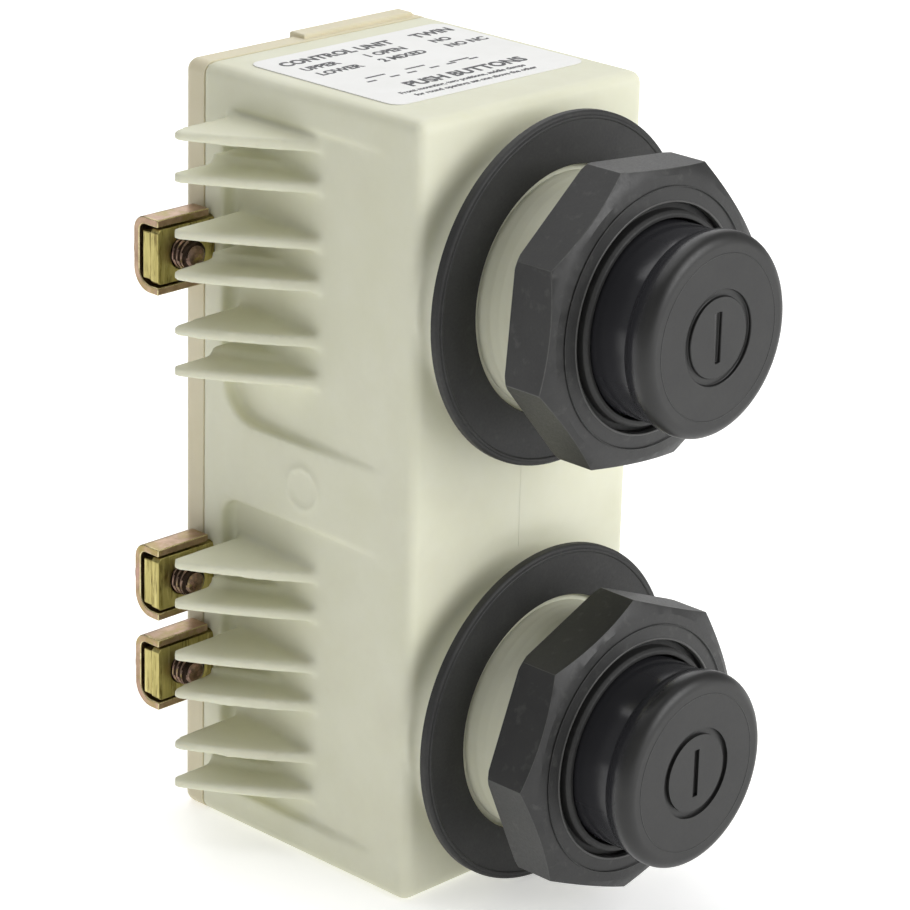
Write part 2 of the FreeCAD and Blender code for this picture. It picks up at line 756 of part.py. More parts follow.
def make_saddle(side_name, side, name, axis):
    """Saddle clamp: a bent sheet with its web behind the strap and its flanges over and under it."""
    sheet_size = "saddle_sheet"
    top, low = "saddle_round", "saddle_sag_round"
    half, back, front = "saddle_half", "saddle_back", "strap_front"
    outline = [
        (front, half),
        (front, f"{half} - {sheet_size}"),
        (f"{back} - {top}", f"{half} - {sheet_size}", f"-({top} - {sheet_size})"),
        (f"{back} - {sheet_size}", f"{half} - {top}"),
        (f"{back} - {sheet_size}", f"-{half} + {low}", f"-({low} - {sheet_size})"),
        (f"{back} - {low}", f"-{half} + {sheet_size}"),
        (front, f"-{half} + {sheet_size}"),
        (front, f"-{half}"),
        (f"{back} - {low}", f"-{half}", low),
        (back, f"-{half} + {low}"),
        (back, f"{half} - {top}", top),
        (f"{back} - {top}", half),
    ]
    start, width = "-strap_end" if side == LEFT else "saddle_inner", "strap_end - saddle_inner"
    label = f"{side_name}_{name}_saddle_bent"
    bent = pushed(label, "YZ_Plane", outline, width, offset=start, z=axis)
    hole = clear_hole(f"{side_name}_{name}_saddle_hole", side, axis)
    return cut(f"{side_name}_{name}_saddle", bent, hole)


def make_screw(side_name, side, name, axis):
    """Terminal screw: a pan head behind the saddle, a shank and a smaller rounded tip."""
    head_front, head_back = "saddle_back", "saddle_back + screw_head"
    profile = [
        ("screw_tip", 0),
        (head_back, 0),
        (head_back, "screw_head_radius - screw_head_round", "-screw_head_round"),
        (f"{head_back} - screw_head_round", "screw_head_radius"),
        (head_front, "screw_head_radius"),
        (head_front, "screw_radius"),
        ("screw_thread_end", "screw_radius"),
        ("screw_thread_end - screw_step", "screw_tip_radius"),
        ("screw_tip + screw_tip_edge", "screw_tip_radius"),
        ("screw_tip", "screw_tip_radius - screw_tip_edge"),
    ]
    x = f"{side} * screw_place"
    plain = turned(f"{side_name}_{name}_screw_plain", profile, x=x, z=axis)
    floor, reach = f"{head_back} - screw_slot_depth", "(screw_head_radius + past)"
    low = (f"{x} - screw_slot / 2", floor, f"{axis} - {reach}")
    high = (f"{x} + screw_slot / 2", f"{head_back} + past", f"{axis} + {reach}")
    return cut(f"{side_name}_{name}_screw", plain, block(f"{side_name}_{name}_slot_cut", low, high))


def make_buttons():
    """Everything on the two button axes."""
    parts = []
    coil = ("return_coil", "return_wire", "return_turns")
    for name, (axis, turn) in BUTTONS.items():
        parts += [make_gasket(name, axis), make_nut(name, axis, turn), make_boot(name, axis)]
        parts += [make_cap(name, axis), make_plunger(name, axis)]
        inside_cap = "cap_face + cap_face_wall"
        parts.append(spring(f"{name}_return_spring", *coil, inside_cap, "web_front", axis))
    return parts


def make_contacts():
    """Bridges, their springs and the contact tips."""
    parts = []
    coil = ("contact_coil", "contact_wire", "contact_turns")
    open_front = f"({OPEN_BRIDGE_BACK} - bridge_thickness)"
    for name, axis in (("upper_open", UPPER_AXIS), ("lower_open", LOWER_AXIS)):
        parts.append(make_bridge(f"{name}_bridge", axis, open_front))
        parts.append(make_tips(f"{name}_bridge_tips", OPEN_BRIDGE_BACK, axis))
        parts.append(make_tips(f"{name}_fixed_tips", OPEN_CONTACT_FRONT, axis))
        parts.append(spring(f"{name}_contact_spring", *coil, "seat_back", open_front, axis))
    name, axis = "lower_closed", CLOSED_AXIS
    closed_back = f"({CLOSED_BRIDGE_FRONT} + bridge_thickness)"
    parts.append(make_bridge(f"{name}_bridge", axis, CLOSED_BRIDGE_FRONT))
    parts.append(make_tips(f"{name}_bridge_tips", f"{CLOSED_BRIDGE_FRONT} - contact_height", axis))
    parts.append(make_tips(f"{name}_fixed_tips", f"{CLOSED_CONTACT_BACK} - contact_height", axis))
    parts.append(spring(f"{name}_contact_spring", *coil, closed_back, "closed_window_back", axis))
    return parts


def make_terminals():
    """Strap, pressure plate, saddle and screw at each of the six terminals."""
    parts = []
    for side_name, side in SIDES.items():
        for name, (axis, steps) in TERMINALS.items():
            parts.append(make_strap(side_name, side, name, axis, steps))
            for make in (make_wire_plate, make_saddle, make_screw):
                parts.append(make(side_name, side, name, axis))
    return parts


fin_shape = fin()
ledge_shape = ledge()
parts = [make_housing(), make_cover(), make_label(), *make_buttons(), *make_contacts(), *make_terminals()]
doc.recompute()

faulty = [item.Label for item in doc.Objects if {"Invalid", "Error"} & set(item.State)]
if faulty:
    raise SystemExit(f"failed objects: {faulty}")
for item in parts:
    if item.Shape.isNull() or not item.Shape.isValid():
        raise SystemExit(f"{item.Label} has no valid shape")

os.makedirs("parts", exist_ok=True)
for item in parts:
    item.Shape.exportStep(f"parts/{item.Label}.step")
    print(f"{item.Label}: {len(item.Shape.Solids)} solids, {item.Shape.Volume:.1f} mm3")
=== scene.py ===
"""Looks of a twin push-button control unit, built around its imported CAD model."""

import json
import math

import bmesh
import bpy
from mathutils import Matrix, Vector


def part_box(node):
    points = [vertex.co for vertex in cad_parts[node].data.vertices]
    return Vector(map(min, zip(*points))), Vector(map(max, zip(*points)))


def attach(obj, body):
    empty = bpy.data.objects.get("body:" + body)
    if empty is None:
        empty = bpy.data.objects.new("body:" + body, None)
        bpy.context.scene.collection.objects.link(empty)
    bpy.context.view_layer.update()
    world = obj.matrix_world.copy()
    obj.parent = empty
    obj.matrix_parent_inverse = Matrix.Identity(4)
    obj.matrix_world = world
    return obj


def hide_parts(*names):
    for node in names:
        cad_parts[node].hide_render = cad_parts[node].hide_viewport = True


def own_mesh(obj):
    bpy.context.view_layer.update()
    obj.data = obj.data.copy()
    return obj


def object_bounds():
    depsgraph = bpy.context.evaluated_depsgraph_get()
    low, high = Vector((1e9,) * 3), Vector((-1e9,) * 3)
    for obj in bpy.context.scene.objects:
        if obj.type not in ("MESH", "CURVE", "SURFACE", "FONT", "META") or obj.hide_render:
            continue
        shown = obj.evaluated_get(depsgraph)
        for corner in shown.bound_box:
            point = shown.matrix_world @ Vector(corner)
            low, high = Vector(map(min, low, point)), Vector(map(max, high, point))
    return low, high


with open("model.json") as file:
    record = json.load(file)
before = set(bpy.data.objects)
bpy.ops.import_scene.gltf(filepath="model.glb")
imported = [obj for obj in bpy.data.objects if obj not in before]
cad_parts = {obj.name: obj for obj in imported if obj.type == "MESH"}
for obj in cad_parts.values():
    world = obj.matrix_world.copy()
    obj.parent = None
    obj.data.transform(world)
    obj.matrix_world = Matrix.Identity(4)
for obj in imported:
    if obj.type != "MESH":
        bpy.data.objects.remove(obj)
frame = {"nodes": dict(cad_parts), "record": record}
CAD_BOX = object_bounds()

MM = 0.001
FRONT_TO_BACK = Vector((0, 1, 0))
BUTTONS = ("upper", "lower")
CONTACTS = ("upper_open", "lower_open", "lower_closed")
TERMINALS = [f"{side}_{level}" for side in ("left", "right") for level in ("upper", "middle", "lower")]
NODE_BODY = {node: body for body, nodes in frame["record"]["behaviour"]["bodies"].items() for node in nodes}
NODE_SLOT = {part["node"]: part["material_slot"] for part in frame["record"]["subparts"]}

# edges turned by more than this are corners, and get their softening
CORNER = math.radians(28)

# places along the housing, in millimetres: its front wall, then the web and the bosses' faces, each with the
# way it is shifted back, and how near to such a place a point lies on it
FRONT_WALL = 5.85
SHIFTS = ((4.0, 0.15), (1.2, -0.3))
NEAR = 0.01

# the housing's even skin: the size of its cells, and how far a flat stretch may stray, in millimetres
SKIN_CELL = 0.43
SKIN_STRAY = 0.1

# the threaded necks, in millimetres: their ends, radii, and the pitch and depth of the thread
NECK_BACK = 0.6
NECK_FRONT = -13.2
NECK_RADIUS = 15.1
NECK_BORE = 13.0
NECK_THREAD = (1.5, 0.05)

# the terminal screws, in millimetres: the shank, the reduced tip and its broken edge, the length and depth of
# the first thread's taper, the pitch and depth of the thread, and the head's thickness
SCREW_RADIUS = 2.1
SCREW_TIP_RADIUS = 1.35
SCREW_TIP_LENGTH = 0.3
SCREW_TIP_EDGE = (0.12, 0.2)
SCREW_TAPER = (0.6, 0.3)
SCREW_THREAD = (0.79, 0.42)
SCREW_HEAD = 1.9

# threads: how far outside the tip's radius one may cut, in millimetres, the steps round a screw and round a
# neck, the rows to a turn, and how steep the flanks are against a plain zigzag, which flattens the valleys
THREAD_MARGIN = 0.1
SCREW_STEPS = 40
NECK_STEPS = 96
ROWS_PER_TURN = 8
FLANKS = 1.35

# the fronts of the nuts and caps, and where behind its face a cap's polish and its painted sheen come in, in
# millimetres, and the share of the roughness that the polish leaves
NUT_FACE = -15.15
CAP_FACE = -24.9
POLISH_AND_PAINTED_SHEEN = (1.2, 2.6)
POLISH_LEAVES = 0.42

# the colour inputs of a Mix node, which share their names with its other inputs
FIRST, SECOND = 6, 7


# ---------------------------------------------------------------- materials


def linear(colour):
    """An sRGB hex colour as linear red, green, blue and full alpha."""
    parts = [int(colour[i : i + 2], 16) / 255 for i in (1, 3, 5)]
    return [c / 12.92 if c <= 0.04045 else ((c + 0.055) / 1.055) ** 2.4 for c in parts] + [1]


def per(size):
    """The scale of a texture whose features are that many millimetres wide."""
    return 1 / (size * MM)


def add(tree, kind, settings, links=()):
    """Adds a node, sets its inputs or properties, and links (input, output socket) pairs."""
    node = tree.nodes.new(kind)
    for name, value in settings.items():
        if isinstance(name, int) or name in node.inputs:
            node.inputs[name].default_value = value
        else:
            setattr(node, name, value)
    for name, socket in links:
        tree.links.new(node.inputs[name], socket)
    return node


def surface(name, tones, patch, gloss, grain, depth, tints=(), stretch=(1, 1, 1), **settings):
    """A finish whose colour drifts between two tones, with tints over it, uneven gloss and fine relief.

    The patches and the grain are that many millimetres wide, and the relief that deep. gloss is the
    lowest and highest roughness. A tint is a colour, its patches' width, the part of the noise over
    which it comes in, and its strength. stretch draws every pattern out along an axis.
    """
    material = bpy.data.materials.new(name)
    material.use_nodes = True
    tree = material.node_tree
    tree.nodes.clear()
    shader = add(tree, "ShaderNodeBsdfPrincipled", settings)
    add(tree, "ShaderNodeOutputMaterial", {}, [("Surface", shader.outputs["BSDF"])])
    coordinates = add(tree, "ShaderNodeTexCoord", {})
    drawn = add(tree, "ShaderNodeMapping", {"Scale": stretch}, [("Vector", coordinates.outputs["Object"])])
    place = ("Vector", drawn.outputs["Vector"])
    below = []
    for tone, width, (start, end), strength in [(tones[1], patch, (0.3, 0.7), 1), *tints]:
        lumps = add(tree, "ShaderNodeTexNoise", {"Scale": per(width), "Detail": 4, "Roughness": 0.6}, [place])
        limits = {"From Min": start, "From Max": end, "To Max": strength}
        share = add(tree, "ShaderNodeMapRange", limits, [("Value", lumps.outputs["Fac"])])
        colours = {"data_type": "RGBA", FIRST: linear(tones[0]), SECOND: linear(tone)}
        mix = add(tree, "ShaderNodeMix", colours, [("Factor", share.outputs["Result"]), *below])
        below = [(FIRST, mix.outputs[2])]
    tree.links.new(shader.inputs["Base Color"], mix.outputs[2])
    marks = add(tree, "ShaderNodeTexNoise", {"Scale": per(grain), "Detail": 5, "Roughness": 0.6}, [place])
    limits = {"From Min": 0.3, "From Max": 0.7, "To Min": gloss[0], "To Max": gloss[1]}
    uneven = add(tree, "ShaderNodeMapRange", limits, [("Value", marks.outputs["Fac"])])
    tree.links.new(shader.inputs["Roughness"], uneven.outputs["Result"])
    relief = add(tree, "ShaderNodeBump", {"Distance": depth * MM}, [("Height", marks.outputs["Fac"])])
    tree.links.new(shader.inputs["Normal"], relief.outputs["Normal"])
    return material


def cap_plastic():
    """Acetal, moulded: satin on the face, and polished on the side, which slides in the boot; the side also
    has a painted sheen, a lighter and bluer grey.
    """
    material = surface(
        "black_acetal_moulded", ("#1A1A1A", "#222221"), 6.0, (0.38, 0.46), 0.5, 0.003, IOR=1.48
    )
    tree = material.node_tree
    shader = tree.nodes["Principled BSDF"]
    place = tree.nodes["Texture Coordinate"].outputs["Object"]
    satin = shader.inputs["Roughness"].links[0].from_socket
    start, end = (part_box("upper_button_cap")[0].y + back * MM for back in POLISH_AND_PAINTED_SHEEN)
    along = add(tree, "ShaderNodeSeparateXYZ", {}, [("Vector", place)]).outputs["Y"]
    limits = {"From Min": start, "From Max": end}
    side = add(tree, "ShaderNodeMapRange", limits, [("Value", along)]).outputs["Result"]
    rubbed = add(tree, "ShaderNodeMath", {"operation": "MULTIPLY", 1: POLISH_LEAVES}, [(0, satin)])
    gloss = add(tree, "ShaderNodeMix", {}, [("Factor", side), ("A", satin), ("B", rubbed.outputs["Value"])])
    tree.links.new(shader.inputs["Roughness"], gloss.outputs["Result"])
    colour = shader.inputs["Base Color"].links[0].from_socket
    # painted sheen: the cap's side is painted a lighter, bluer grey than the face, standing in for the
    # highlight on it
    painted_sheen_colour = {"data_type": "RGBA", SECOND: linear("#2D2D30")}
    painted_sheen = add(tree, "ShaderNodeMix", painted_sheen_colour, [("Factor", side), (FIRST, colour)])
    tree.links.new(shader.inputs["Base Color"], painted_sheen.outputs[2])
    return material


# light goes a little way into the moulded ivory, and comes out warm
IVORY_GLOW = {
    "IOR": 1.52,
    "Subsurface Weight": 0.15,
    "Subsurface Scale": 1.5 * MM,
    "Subsurface Radius": (1.0, 0.9, 0.6),
}

# each of the record's material slots, and its finish
FINISHES = {
    # glass-filled polyester, moulded: creamy and faintly translucent, with a soft low gloss and flow marks
    "ivory_plastic": surface(
        "ivory_polyester_moulded",
        ("#E1E1CC", "#DCDCC4"),
        9.0,
        (0.50, 0.62),
        0.5,
        0.006,
        [("#D6D4BE", 14.0, (0.5, 0.8), 0.6)],
        **IVORY_GLOW,
    ),
    # the same polyester from another batch: a little warmer, and duller
    "cover_plastic": surface(
        "warm_ivory_polyester_moulded",
        ("#DCD4B9", "#D8CFB1"),
        8.0,
        (0.46, 0.58),
        0.5,
        0.006,
        [("#D0C6A6", 12.0, (0.5, 0.75), 0.35)],
        **IVORY_GLOW,
    ),
    # polyester film: white and smooth, with a slight orange peel that breaks up its shine
    "label_film": surface(
        "white_polyester_film", ("#EBEBE9", "#E5E5E2"), 6.0, (0.30, 0.38), 1.2, 0.002, IOR=1.6
    ),
    # nitrile rubber, moulded: dark and dull, with a dusty bloom
    "black_rubber": surface(
        "black_nitrile_rubber_moulded",
        ("#202020", "#282827"),
        5.0,
        (0.52, 0.68),
        0.35,
        0.008,
        [("#3A3A38", 1.4, (0.58, 0.72), 0.5)],
    ),
    # nylon from a spark-eroded mould: dark grey and even, scuffed where it was gripped
    "nut_plastic": surface(
        "dark_nylon_textured",
        ("#1B1B1B", "#232322"),
        6.0,
        (0.40, 0.52),
        0.3,
        0.010,
        [("#4A4A47", 1.6, (0.58, 0.72), 0.35)],
        IOR=1.53,
    ),
    "cap_plastic": cap_plastic(),
    # natural nylon, moulded: milky and waxy
    "carrier_nylon": surface(
        "natural_nylon_moulded",
        ("#E3DFD0", "#DAD5C3"),
        7.0,
        (0.35, 0.5),
        0.5,
        0.006,
        IOR=1.53,
    ),
    # drawn music wire: grey and smooth, with faint lines along it
    "spring_steel": surface(
        "spring_steel_drawn", ("#8E8F90", "#6B6C6D"), 0.8, (0.22, 0.38), 0.12, 0.004, Metallic=1.0
    ),
    # rolled brass strip: yellow, with straight rolling lines
    "contact_brass": surface(
        "brass_rolled",
        ("#C2A352", "#A8883C"),
        1.5,
        (0.24, 0.4),
        0.12,
        0.004,
        stretch=(0.1, 1, 1),
        Metallic=1.0,
    ),
    # silver, coined: pale, with a light tarnish
    "contact_silver": surface(
        "silver_coined", ("#DAD8D2", "#BDB8AC"), 0.7, (0.2, 0.36), 0.12, 0.004, Metallic=1.0
    ),
    # zinc-plated and yellow-passivated strip: olive gold, with dark upright bands from the bath
    "terminal_brass": surface(
        "yellow_passivated_strip",
        ("#D0C482", "#AA9E60"),
        0.9,
        (0.28, 0.46),
        0.12,
        0.004,
        [("#5E4C26", 0.5, (0.54, 0.68), 0.75), ("#EBE2A0", 0.7, (0.56, 0.7), 0.6)],
        stretch=(1, 1, 0.14),
        Metallic=1.0,
    ),
    # zinc-plated and dichromated sheet: rosy brown, drifting to yellow-green like an oil film
    "plated_steel": surface(
        "dichromated_steel_sheet",
        ("#C4A990", "#9C826C"),
        1.6,
        (0.28, 0.42),
        0.14,
        0.003,
        [("#A79A57", 3.2, (0.5, 0.64), 0.7), ("#B98F8A", 2.3, (0.55, 0.7), 0.5)],
        Metallic=1.0,
    ),
    # rolled screw, dichromated: brownish grey, rosy and yellow in patches
    "screw_steel": surface(
        "dichromated_screw_rolled",
        ("#A08576", "#6A5A50"),
        0.9,
        (0.24, 0.40),
        0.12,
        0.004,
        [("#BFAE68", 1.4, (0.55, 0.66), 0.6), ("#C9998F", 1.1, (0.58, 0.7), 0.6)],
        Metallic=1.0,
    ),
}

# thermal-transfer ink: near black and satin, a little uneven where the ribbon lifted
INK = surface(
    "black_transfer_ink",
    ("#2A2B2E", "#3A3B3E"),
    0.7,
    (0.45, 0.6),
    0.4,
    0.001,
    [("#7C7D80", 0.5, (0.6, 0.75), 0.5)],
)
# nylon rubbed by handling: smoother than the textured faces beside it, and paler, partly from rubbing and
# partly a painted highlight on the edges
RUBBED_NYLON_AND_HIGHLIGHT = surface("rubbed_nylon_edge_and_highlight", ("#4C4C4A", "#3A3A39"), 0.8, (0.34, 0.46), 0.3, 0.006, IOR=1.53)
# sheet where the tool rubbed its bends: greenish yellow, and brighter as a painted highlight on the bends
RUBBED_SHEET_AND_HIGHLIGHT = surface(
    "dichromated_sheet_edge", ("#DCD2A4", "#B5A478"), 0.9, (0.22, 0.36), 0.14, 0.003, Metallic=1.0
)
# the thread's valleys: painted shade, dark, brown and dull
PAINTED_THREAD_SHADE = surface(
    "dichromated_thread_painted_shade", ("#4A3C34", "#30271F"), 0.5, (0.5, 0.65), 0.12, 0.003, Metallic=1.0
)


# ---------------------------------------------------------------- pieces


def piece(name, bm, material, body, corner=CORNER):
    """Makes the mesh an object with that finish, smooth apart from its corners, riding on a body."""
    mesh = bpy.data.meshes.new(name)
    bm.to_mesh(mesh)
    bm.free()
    mesh.materials.append(material)
    mesh.shade_smooth()
    mesh.set_sharp_from_angle(angle=corner)
    made = bpy.data.objects.new(name, mesh)
    bpy.context.scene.collection.objects.link(made)
    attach(made, body)
    return made


def softened(made, width, edge_wear_and_highlight=None):
    """Rounds every corner by that many millimetres, and keeps the flats flat to the eye."""
    bevel = made.modifiers.new("softened_edges", "BEVEL")
    bevel.limit_method = "ANGLE"
    bevel.angle_limit = CORNER
    bevel.width = width * MM
    bevel.segments = 2
    bevel.profile = 0.5
    bevel.use_clamp_overlap = True
    bevel.miter_outer = "MITER_ARC"
    # the rounded corners may take a paler edge finish: wear, and a painted highlight
    if edge_wear_and_highlight:
        made.data.materials.append(edge_wear_and_highlight)
        bevel.material = 1
    flats = made.modifiers.new("flat_faces", "WEIGHTED_NORMAL")
    flats.keep_sharp = True
    return made


def merged(node):
    """A copy of the CAD node's shape, its corners merged."""
    bm = bmesh.new()
    bm.from_mesh(frame["nodes"][node].data)
    bmesh.ops.remove_doubles(bm, verts=bm.verts, dist=0.002 * MM)
    bmesh.ops.dissolve_degenerate(bm, edges=bm.edges, dist=0.001 * MM)
    return bm


def cut_off(bm, place, normal):
    """Cuts away what lies behind a plane, and gives the cut's edges."""
    everything = bm.verts[:] + bm.edges[:] + bm.faces[:]
    cut = bmesh.ops.bisect_plane(bm, geom=everything, plane_co=place, plane_no=normal, clear_inner=True)
    return [edge for edge in cut["geom_cut"] if isinstance(edge, bmesh.types.BMEdge)]


def stands_for(made, node):
    """The piece takes the CAD node's place."""
    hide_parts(node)
    return made


def finished(node, width, edge_wear_and_highlight=None):
    """A piece in the CAD node's place, its corners rounded by width millimetres and in the given edge finish,
    worn and with a painted highlight.
    """
    bm = merged(node)
    bmesh.ops.dissolve_limit(bm, angle_limit=math.radians(0.3), verts=bm.verts, edges=bm.edges)
    made = piece(f"{node}_finished", bm, FINISHES[NODE_SLOT[node]], NODE_BODY[node])
    return stands_for(softened(made, width, edge_wear_and_highlight), node)


def coil_spring(node, wire, turns):
    """A coil spring in the CAD node's place, of round wire with that radius in millimetres."""
    low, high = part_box(node)
    radius = wire * MM
    middle = (low + high) / 2
    coil = (high.x - low.x) / 2 - radius
    length = high.y - low.y - 2 * radius
    steps = 40
    bm = bmesh.new()
    start = Matrix.Translation((coil + middle.x, low.y + radius, middle.z))
    bmesh.ops.create_circle(bm, cap_ends=True, segments=14, radius=radius, matrix=start)
    bmesh.ops.spin(
        bm,
        geom=bm.verts[:] + bm.edges[:] + bm.faces[:],
        cent=middle,
        axis=FRONT_TO_BACK,
        dvec=(0, length / turns / steps, 0),
        angle=2 * math.pi * turns,
        steps=steps * turns,
        use_merge=False,
    )
    bmesh.ops.recalc_face_normals(bm, faces=bm.faces)
    made = piece(f"{node}_wound", bm, FINISHES["spring_steel"], NODE_BODY[node])
    return stands_for(made, node)


def lathed(bm, outline, centre, closed=True, steps=NECK_STEPS):
    """Turns an outline of (distance back, radius) in millimetres about the front-to-back axis."""
    corners = [bm.verts.new((centre.x + r * MM, y * MM, centre.z)) for y, r in outline]
    pairs = list(zip(corners, corners[1:]))
    if closed:
        pairs.append((corners[-1], corners[0]))
    edges = [bm.edges.new(pair) for pair in pairs]
    bmesh.ops.spin(
        bm,
        geom=corners + edges,
        cent=centre,
        axis=FRONT_TO_BACK,
        angle=2 * math.pi,
        steps=steps,
        use_merge=True,
    )
    bmesh.ops.remove_doubles(bm, verts=bm.verts, dist=0.001 * MM)
    bmesh.ops.recalc_face_normals(bm, faces=bm.faces)


def rows(start, end, pitch):
    """Distances from start to end, evenly spaced for a thread of that pitch."""
    count = round(abs(end - start) / pitch * ROWS_PER_TURN)
    return [start + (end - start) * i / count for i in range(count + 1)]


def threaded(bm, centre, inner, thread, start, end):
    """Sinks a helical thread into what lies beyond a radius, fading out over a turn at each end."""
    pitch, depth = thread
    for vert in bm.verts:
        out = Vector((vert.co.x - centre.x, 0, vert.co.z - centre.z))
        back = vert.co.y / MM
        if out.length / MM > inner and start <= back <= end:
            turn = math.atan2(out.z, out.x) / (2 * math.pi)
            valley = abs(2 * ((back / pitch + turn) % 1) - 1)
            fade = min(1, (back - start) / pitch, (end - back) / pitch)
            vert.co -= out.normalized() * depth * MM * fade * min(1, FLANKS * valley)


def ridge(button, name, node, material, place, radius, width, height):
    """A thin raised ring round a button's axis, on one of its pieces."""
    low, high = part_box(f"{button}_gasket")
    bm = bmesh.new()
    inner, outer = radius - width / 2, radius + width / 2
    shoulder = width / 4
    lathed(
        bm,
        [
            (place + height, inner),
            (place, inner),
            (place - height, inner + shoulder),
            (place - height, outer - shoulder),
            (place, outer),
            (place + height, outer),
        ],
        (low + high) / 2,
    )
    made = piece(f"{button}_{name}", bm, material, NODE_BODY[f"{button}_{node}"], corner=math.pi)


# ---------------------------------------------------------------- housing, cover and label


def housing_shell():
    """The housing, its necks cut off under the gaskets, with corners as soft as the mould leaves them."""
    bm = merged("housing")
    rims = cut_off(bm, (0, NECK_BACK * MM, 0), FRONT_TO_BACK)
    for side in (1, -1):
        bmesh.ops.bridge_loops(bm, edges=[edge for edge in rims if edge.verts[0].co.z * side > 0])
    # the even skin isn't exact, so the web stands clear of the pressed cap and each boss sinks in its gasket
    for place, shift in SHIFTS:
        level = [vert for vert in bm.verts if abs(vert.co.y / MM - place) < NEAR]
        bmesh.ops.translate(bm, verts=level, vec=FRONT_TO_BACK * shift * MM)
    bmesh.ops.recalc_face_normals(bm, faces=bm.faces)
    made = piece("housing_shell", bm, FINISHES["ivory_plastic"], NODE_BODY["housing"], corner=math.pi)
    skin = made.modifiers.new("even_skin", "REMESH")
    skin.mode = "VOXEL"
    skin.voxel_size = SKIN_CELL * MM
    skin.adaptivity = SKIN_STRAY * MM
    skin.use_smooth_shade = True
    soft = made.modifiers.new("soft_corners", "SMOOTH")
    soft.factor = 0.5
    soft.iterations = 1
    made.modifiers.new("flat_faces", "WEIGHTED_NORMAL")
    return stands_for(made, "housing")


def threaded_neck(button):
    """A neck of the housing: a tube with a moulded helical thread."""
    low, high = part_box(f"{button}_gasket")
    centre = (low + high) / 2
    outline = [(y, NECK_RADIUS) for y in rows(NECK_BACK, NECK_FRONT, NECK_THREAD[0])]
    outline += [(NECK_FRONT, NECK_BORE), (NECK_BACK, NECK_BORE)]
    bm = bmesh.new()
    lathed(bm, outline, centre)
    threaded(bm, centre, (NECK_RADIUS + NECK_BORE) / 2, NECK_THREAD, NECK_FRONT, NECK_BACK)
    made = piece(f"{button}_threaded_neck", bm, FINISHES["ivory_plastic"], NODE_BODY["housing"])


def parting_line():
    """The mould's parting line between the bosses: a fine strip just proud of the front wall."""
    aside, width, thickness, height = (size * MM for size in (-0.7, 0.16, 0.05, 14))
    bm = bmesh.new()
    size = Matrix.Diagonal((width, thickness, height, 1))
    bmesh.ops.create_cube(bm, matrix=Matrix.Translation((aside, FRONT_WALL * MM, 0)) @ size)
    made = piece("front_parting_line", bm, FINISHES["ivory_plastic"], NODE_BODY["housing"])


def label_print():
    """The label's plain print: what the unit is, its contacts as small diagrams, and two fine lines."""
    low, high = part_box("rating_label")
    # the words, their place from the label's left front corner, and their height, in millimetres
    lines = (
        ("CONTROL UNIT", 2.6, 22.4, 2.6),
        ("TWIN", 26.0, 22.4, 2.6),
        ("UPPER", 3.2, 19.2, 2.1),
        ("1 OPEN", 14.0, 19.2, 2.1),
        ("NO", 26.0, 19.2, 2.1),
        ("LOWER", 3.2, 16.3, 2.1),
        ("2 MIXED", 14.0, 16.3, 2.1),
        ("NO NC", 26.0, 16.3, 2.1),
        ("PUSH BUTTONS", 8.0, 5.4, 2.9),
        ("Front mounting, two positions, saddle clamps", 4.4, 3.5, 1.2),
        ("for round openings set one above the other", 5.4, 1.8, 1.2),
    )
    bm = bmesh.new()
    for words, x, y, height in lines:
        text = bpy.data.curves.new("print", "FONT")
        text.body = words
        text.size = height * MM
        text.offset = 0.045 * height * MM
        text.extrude = 0.01 * MM
        text.resolution_u = 3
        holder = bpy.data.objects.new("print", text)
        mesh = bpy.data.meshes.new_from_object(holder)
        mesh.transform(Matrix.Translation((low.x + x * MM, low.y + y * MM, high.z)))
        bm.from_mesh(mesh)
        bpy.data.objects.remove(holder)
        bpy.data.curves.remove(text)
    # each diagram is two fixed bars and a moving one, laid across them or held off
    stroke, ink, fixed, moving, reach, row = (size * MM for size in (0.4, 0.02, 1.6, 3.4, 2.0, 10.4))
    for x, lift in ((8.0, 1.5), (15.0, 1.5), (22.0, 0.6)):
        for across, along, wide in ((-reach, 0, fixed), (reach, 0, fixed), (0, lift * MM, moving)):
            place = Matrix.Translation((low.x + x * MM + across, low.y + row + along, high.z))
            bmesh.ops.create_cube(bm, matrix=place @ Matrix.Diagonal((wide, stroke, ink, 1)))
    made = piece("label_print", bm, INK, NODE_BODY["rating_label"])


housing_shell()
finished("back_cover", width=0.3)
finished("rating_label", width=0.03)
parting_line()
label_print()

# ---------------------------------------------------------------- buttons

# each button's thin raised rings: name, the piece it stands on, finish, and then in millimetres its place
# from front to back, radius, width and height
RIDGES = (
    ("gasket_lip", "gasket", FINISHES["black_rubber"], 0.0, 21.8, 0.5, 0.12),
    # the nut's bore edge takes the paler nylon, a painted highlight on its rim
    ("nut_bore_edge", "ring_nut", RUBBED_NYLON_AND_HIGHLIGHT, NUT_FACE, 14.55, 0.3, 0.05),
    ("nut_face_line", "ring_nut", FINISHES["nut_plastic"], NUT_FACE, 16.4, 0.18, 0.04),
    ("cap_face_line", "button_cap", FINISHES["cap_plastic"], CAP_FACE, 10.4, 0.16, 0.03),
)

for button in BUTTONS:
    threaded_neck(button)
    finished(f"{button}_gasket", width=0.1)
    finished(f"{button}_ring_nut", width=0.18, edge_wear_and_highlight=RUBBED_NYLON_AND_HIGHLIGHT)
    finished(f"{button}_boot", width=0.12)
    finished(f"{button}_button_cap", width=0.1)
    finished(f"{button}_plunger", width=0.15)
    for ring in RIDGES:
        ridge(button, *ring)
    spring = coil_spring(f"{button}_return_spring", wire=0.9, turns=6)
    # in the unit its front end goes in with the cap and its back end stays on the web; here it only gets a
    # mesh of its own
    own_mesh(spring)

# ---------------------------------------------------------------- contacts

for contact in CONTACTS:
    finished(f"{contact}_bridge", width=0.1)
    finished(f"{contact}_bridge_tips", width=0.1)
    finished(f"{contact}_fixed_tips", width=0.1)
    coil_spring(f"{contact}_contact_spring", wire=0.3, turns=4)

# ---------------------------------------------------------------- terminals


